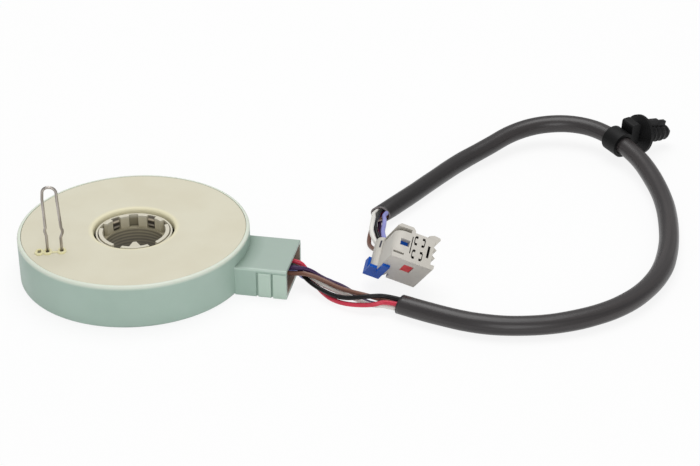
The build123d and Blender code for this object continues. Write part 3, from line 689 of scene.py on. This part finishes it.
cream, tree, shader = plastic("cream_cover", paint(216, 212, 191), paint(212, 207, 185), 0.5, 0.62)
tint(tree, shader, ring_mask(tree, 14.6, 16.0), paint(228, 222, 190))
tint(tree, shader, height_mask(tree, 15.85, 16.1), paint(226, 220, 176))
dress("cover", cream)
lip_cream, *_ = plastic("cream_lips", paint(232, 226, 180), paint(222, 215, 166), 0.4, 0.55)
for lip in slot_lips:
    lip.data.materials.append(lip_cream)


def height_ramp(tree, stops):
    """Colours by height, each stop a height in millimetres and a colour."""
    share = math_node(tree, "MULTIPLY", part_of(tree, own_place(tree), "Z"), 1 / (ramp_top * MM))
    return colour_ramp(tree, share, [(height / ramp_top, colour) for height, colour in stops])


def hub_nylon(name, stops):
    """Grey nylon with painted shade by height, darker deeper down, and fine dark rings in the
    depth.
    """
    material, tree, shader = plastic(name, paint(206, 201, 184), paint(198, 192, 174), 0.35, 0.5)
    waves = tree.nodes.new("ShaderNodeTexWave")
    waves.bands_direction = "Z"
    waves.inputs["Scale"].default_value = 260
    link(tree, own_place(tree), waves.inputs["Vector"])
    deep = math_node(tree, "SUBTRACT", 1.0, height_mask(tree, 9.6, 10.2))
    rings = math_node(tree, "MULTIPLY", deep, waves.outputs[1])
    # Painted shade by height, with fine dark rings multiplied over it in the depth.
    shade_and_rings = mix_colours(tree, math_node(tree, "MULTIPLY", rings, 0.8),
                          height_ramp(tree, stops), paint(120, 112, 96), "MULTIPLY")
    tint(tree, shader, 0.9, shade_and_rings)
    return material


# Painted shade: the bore and the gaps between the fingers are darker than the tops, as less light
# reaches into them.
grey = hub_nylon("hub_nylon", ((3.5, paint(104, 96, 76)), (9.6, paint(146, 138, 112)),
                               (10.2, paint(184, 176, 149)), (13.6, paint(202, 195, 170)),
                               (14.4, paint(212, 207, 190))))
for node in ("hub", "rotor_disc"):
    dress(node, grey)
ring_grey = hub_nylon("sleeve_ring_nylon", ((8.0, paint(92, 86, 66)), (12.6, paint(132, 125, 100)),
                                            (14.0, paint(212, 207, 190))))
dress("outer_sleeve", ring_grey)
print("disc finishes made")

# %% [markdown]
# ## Metal
# The pin is drawn spring wire. Drawing leaves fine streaks along it, so the pattern is stretched
# along the wire's length, and the roughness follows the streaks.


# %% Metal finishes
def metal(name, colour, dark, rough=0.3):
    """A drawn metal, with its streaks stretched along Z."""
    material, tree, shader = new_finish(name)
    stretch = vector_node(tree, "MULTIPLY", own_place(tree), (1.0, 1.0, 0.12))
    streaks = noise(tree, stretch, 1500, 3)
    link(tree, colour_ramp(tree, streaks, ((0.35, dark), (0.65, colour))),
         shader.inputs["Base Color"])
    link(tree, map_range(tree, streaks, (0.0, 1.0), (rough, rough + 0.2)),
         shader.inputs["Roughness"])
    shader.inputs["Metallic"].default_value = 1.0
    return material


steel = metal("spring_wire", paint(196, 190, 184), paint(150, 143, 138))
# A leaf spring is bent, so it mirrors light and dark; these reflections are painted in bands by
# height.
spring, tree, shader = new_finish("leaf_spring")
bands = [(height, paint(level, level * 0.94, level * 0.84)) for height, level in (
    (10.5, 62), (11.4, 150), (12.1, 70), (12.9, 88), (13.4, 235), (13.9, 110))]
link(tree, height_ramp(tree, bands), shader.inputs["Base Color"])
shader.inputs["Metallic"].default_value = 0.6
shader.inputs["Roughness"].default_value = 0.32
tinned = metal("tinned_contact", paint(206, 196, 170), paint(168, 156, 128))
dress("lock_pin", steel)
for node in ("hub_spring_1", "hub_spring_2"):
    dress(node, spring)
for node in ("wiper_1", "wiper_2", "wiper_3", "terminal_pins"):
    dress(node, tinned)
for name in leads:
    dress("terminal_" + name, tinned)
print("metal finishes made")

# %% [markdown]
# ## The plug, the clip and the inside
# The plug is a light warm grey with a fine eroded texture. Its locks are blue and its coding key
# is red. The clip is black nylon, which shines a little more. The board and the strip lie inside.

# %% Finishes of the plug and the clip
def plug_plastic(name):
    """The plug's warm grey, one material for each piece that gets marks of its own."""
    return plastic(name, paint(206, 202, 194), paint(200, 196, 187), 0.5, 0.62)


plug_grey, cover_tree, cover_shader = plug_plastic("plug_grey")
blue, *_ = plastic("lock_blue", paint(8, 82, 180), paint(4, 74, 170), 0.42, 0.54, shine=0.2)
red, *_ = plastic("coding_red", paint(212, 48, 54), paint(200, 40, 48), 0.45, 0.6, shine=0.3)
black, *_ = plastic("clip_black", paint(20, 20, 21), paint(12, 12, 13), 0.42, 0.56, shine=0.22)
seal, *_ = plastic("seal_brown", paint(128, 114, 102), paint(116, 103, 92), 0.7, 0.85)
board, *_ = plastic("board_green", paint(58, 96, 70), paint(50, 86, 62), 0.4, 0.55)
dark, *_ = plastic("strip_dark", paint(44, 43, 42), paint(36, 35, 34), 0.5, 0.65)
clip_tree.data.materials.append(black)


def box_mask(tree, corner, ways, low, high, soft=0.08):
    """1 inside a box seen from a corner along three directions, in millimetres."""
    away = vector_node(tree, "SUBTRACT", own_place(tree), corner * MM)
    mask = 1.0
    for way, start, end in zip(ways, low, high):
        reach = vector_node(tree, "DOT_PRODUCT", away, way)
        mask = math_node(tree, "MULTIPLY", mask, between(tree, reach, start, end, soft))
    return mask


# The contact holes are deep, so their walls get painted shade. The narrow slit in the wire cover
# is a stripe of painted shade too.
plug_face, tree, shader = plug_plastic("plug_face_grey")
corner = plug_point(0, 0, 0)
plug_ways = [plug_point(*unit) - corner for unit in ((1, 0, 0), (0, 1, 0), (0, 0, 1))]
holes = box_mask(tree, corner, plug_ways, (13.0, -1.7, 0.5), (17.55, 6.1, 10.9))
# Painted shade on the walls of the contact holes.
tint(tree, shader, holes, paint(40, 35, 33))
slit_from, slit_to = plug_point(2.71, -8.3, 8.6), plug_point(2.82, -8.17, 11.3)
slit_half_w, slit_reach = 0.33, 0.5
slit_l = (slit_to - slit_from).length
along, outward = (slit_to - slit_from).normalized(), plug_ways[0] * 0.79 - plug_ways[1] * 0.62
# A stripe of painted shade for the inside of the slit in the wire cover.
slit = box_mask(cover_tree, slit_from, (along, along.cross(outward), outward),
                (0, -slit_half_w, -slit_reach), (slit_l, slit_half_w, slit_reach))
tint(cover_tree, cover_shader, slit, paint(44, 44, 60))
for node, material in (("plug_housing", plug_face), ("plug_wire_cover", plug_grey),
                       ("plug_position_lock", blue), ("plug_terminal_lock", blue),
                       ("plug_coding_key", red), ("harness_clip", black), ("wire_seal", seal),
                       ("track_board", board), ("terminal_strip", dark)):
    dress(node, material)
print("plug finishes made")

# %% [markdown]
# ## The sleeve's and the leads' finish
# Soft extruded tube shows faint streaks along its length and a broad dull shine. The tube
# carries its own unrolled coordinates, so the streaks bend with it. They also give the length
# along the tube, by which painted shade darkens its run to the plug and a painted highlight makes
# its cut edge paler. The leads are thinner and glossier, each in one colour.

# %% Finishes of the sleeve and the leads
shaded_run, full_shade = 110, 40
highlight_from, highlight_to = 0.9, 0.1


def tube_place(tree):
    """The tube's unrolled coordinates: round it in X and Y, along it in Z."""
    unrolled = tree.nodes.new("ShaderNodeAttribute")
    unrolled.attribute_name = "unrolled"
    return unrolled.outputs["Vector"]


def streaked_place(tree):
    """Coordinates in which a spot of the pattern is a streak along the tube."""
    return vector_node(tree, "MULTIPLY", tube_place(tree), (1.0, 1.0, 8.0))


def near_end(tree, first, last):
    """0 to 1 along the tube, between two lengths in millimetres that are left to its end."""
    return map_range(tree, part_of(tree, tube_place(tree), "Z"),
                     (sleeve_length - first * MM, sleeve_length - last * MM))


sleeve_finish, tree, shader = plastic(
    "sleeve_plastic_finish", paint(60, 56, 56), paint(44, 41, 42), 0.25, 0.42, patch=2.2,
    grain=26.0, relief=0.05, place=streaked_place)
# Painted shade: the run of the sleeve towards the plug is darker.
tint(tree, shader, math_node(tree, "MULTIPLY", near_end(tree, shaded_run, full_shade), 0.75),
     paint(26, 24, 25))
# Painted highlight on the sleeve's cut edge.
tint(tree, shader, near_end(tree, highlight_from, highlight_to), paint(128, 121, 122))
lead_colours = {"brown": (128, 90, 76), "violet": (62, 34, 76), "blue": (150, 152, 216),
                "black": (22, 21, 22), "red": (214, 56, 80), "white": (238, 235, 229)}
for name, colour in lead_colours.items():
    second = tuple(0.93 * value for value in colour)
    shine = 0.25 if max(colour) < 100 else 0.4
    insulation, *_ = plastic("insulation_" + name, paint(*colour), paint(*second), 0.28, 0.4,
                             patch=120.0, relief=0.01, shine=shine)
    lead_pieces[name].data.materials.append(insulation)
print("cord finishes made")

# %% [markdown]
# ## The floor and the light
# The picture is a product shot on white, lit evenly from all round. The floor glows plain white
# to the camera and to reflections, and keeps a faint shadow, while a large soft lamp above and
# one in front shape the disc.

# %% Floor
floor_half, floor_drop, glow_share = 4.0, 0.0002, 0.86
floor_mesh = bpy.data.meshes.new("floor")
corners = [(x * floor_half, y * floor_half, 0) for x, y in ((-1, -1), (1, -1), (1, 1), (-1, 1))]
floor_mesh.from_pydata(corners, [], [(0, 1, 2, 3)])
floor = bpy.data.objects.new("floor", floor_mesh)
floor.location.z = -floor_drop
bpy.context.collection.objects.link(floor)
white, tree, shader = new_finish("white_sweep")
shader.inputs["Base Color"].default_value = (0.9, 0.9, 0.9, 1)
shader.inputs["Roughness"].default_value = 0.9
shader.inputs["Specular IOR Level"].default_value = 0.0
glow = tree.nodes.new("ShaderNodeEmission")
glow.inputs["Strength"].default_value = 1.0
path = tree.nodes.new("ShaderNodeLightPath")
seen = math_node(tree, "MAXIMUM", path.outputs["Is Camera Ray"], path.outputs["Is Glossy Ray"])
mixed = tree.nodes.new("ShaderNodeMixShader")
link(tree, math_node(tree, "MULTIPLY", seen, glow_share), mixed.inputs[0])
link(tree, shader.outputs[0], mixed.inputs[1])
link(tree, glow.outputs[0], mixed.inputs[2])
link(tree, mixed.outputs[0], tree.nodes["Material Output"].inputs["Surface"])
floor_mesh.materials.append(white)


# %% Lamps and world
harness_middle = Vector((0.06, 0.03, 0))


def soft_lamp(name, place, size, power):
    """A round lamp that points at the middle of the object."""
    data = bpy.data.lights.new(name, "AREA")
    data.shape = "DISK"
    data.size = size
    data.energy = power
    lamp = bpy.data.objects.new(name, data)
    lamp.location = place
    lamp.rotation_euler = (harness_middle - Vector(place)).to_track_quat("-Z", "Y").to_euler()
    bpy.context.collection.objects.link(lamp)
    return lamp


soft_lamp("top_lamp", (0.0, 0.25, 0.9), 0.8, 5.0)
soft_lamp("front_lamp", (0.35, -0.9, 0.5), 0.6, 2.8)
world = bpy.data.worlds.new("white_tent")
world.use_nodes = True
world.node_tree.nodes["Background"].inputs["Color"].default_value = (1, 1, 1, 1)
world.node_tree.nodes["Background"].inputs["Strength"].default_value = 0.45
bpy.context.scene.world = world
bpy.context.scene.view_settings.view_transform = "Standard"
print("light made")
